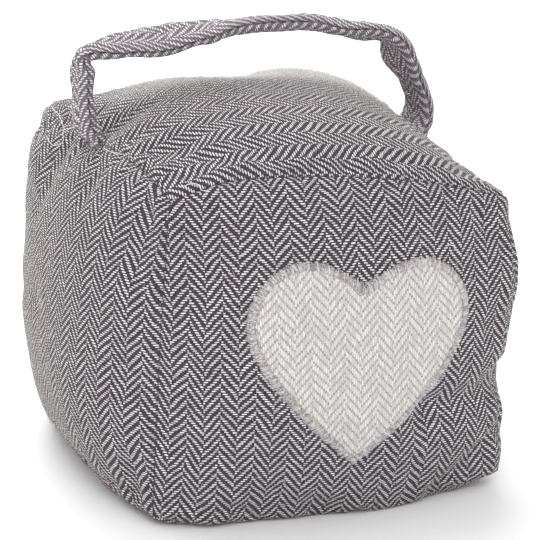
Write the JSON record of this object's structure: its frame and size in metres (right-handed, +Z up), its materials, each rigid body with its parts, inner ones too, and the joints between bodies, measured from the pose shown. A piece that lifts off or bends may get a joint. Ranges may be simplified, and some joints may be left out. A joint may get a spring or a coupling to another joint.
{
  "type": "weighted fabric door stop",
  "caption": "Heavy filled cube of herringbone cloth with a strap handle and a heart appliqué, which stands on the floor and holds a door open.",
  "frame": {"origin": "middle of the flat base that the door stop stands on", "axes": "+Z up, -Y out of the front panel that carries the heart, and +X to the right as the heart is seen"},
  "size_m": [0.1513, 0.1595, 0.155],
  "materials": {
    "tweed": "dark and pale herringbone weave",
    "strap_tweed": "dark and pale herringbone weave",
    "pale_tweed": "pale herringbone weave",
    "edging_thread": "satin stitched thread"
  },
  "bodies": {
    "root": {"body": "tweed", "handle": "strap_tweed", "heart_applique": "pale_tweed", "heart_edging": "edging_thread"}
  },
  "joints": []
}
